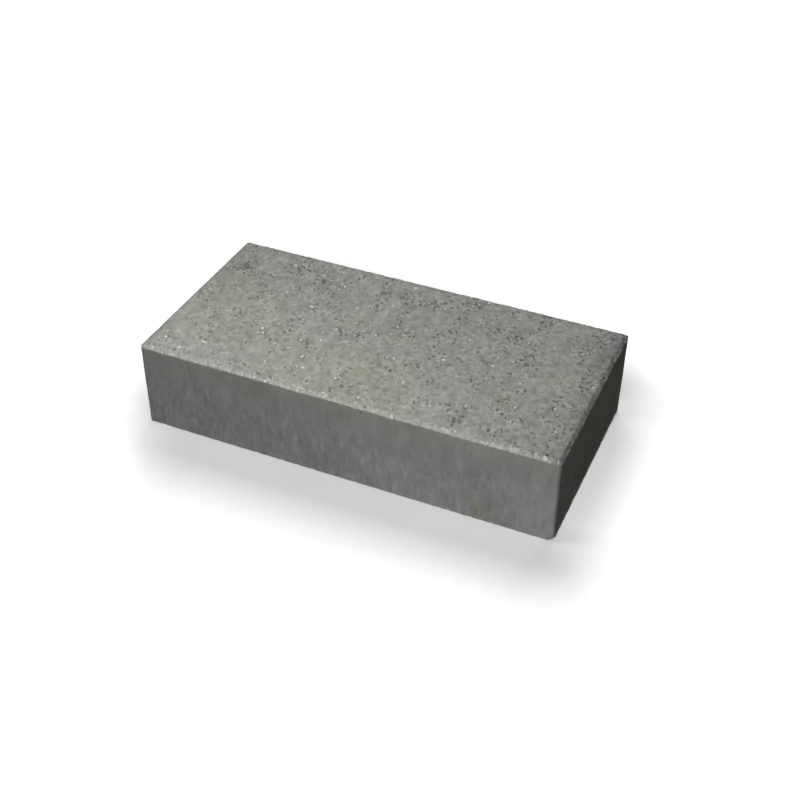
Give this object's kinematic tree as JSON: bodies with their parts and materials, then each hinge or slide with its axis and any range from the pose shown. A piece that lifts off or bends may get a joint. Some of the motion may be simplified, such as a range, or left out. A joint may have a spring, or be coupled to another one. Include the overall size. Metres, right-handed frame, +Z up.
{
  "type": "retaining wall block",
  "caption": "Solid rectangular concrete block with a pitted, bevelled top, laid flat in courses to build a low retaining wall.",
  "frame": {"origin": "middle of the bed, the flat underside that the block lies on", "axes": "+X along the wall, -Y out of the wall face, +Z up"},
  "size_m": [0.45, 0.225, 0.1],
  "materials": {
    "concrete": "matte"
  },
  "bodies": {
    "root": {"wall_block": "concrete"}
  },
  "joints": []
}
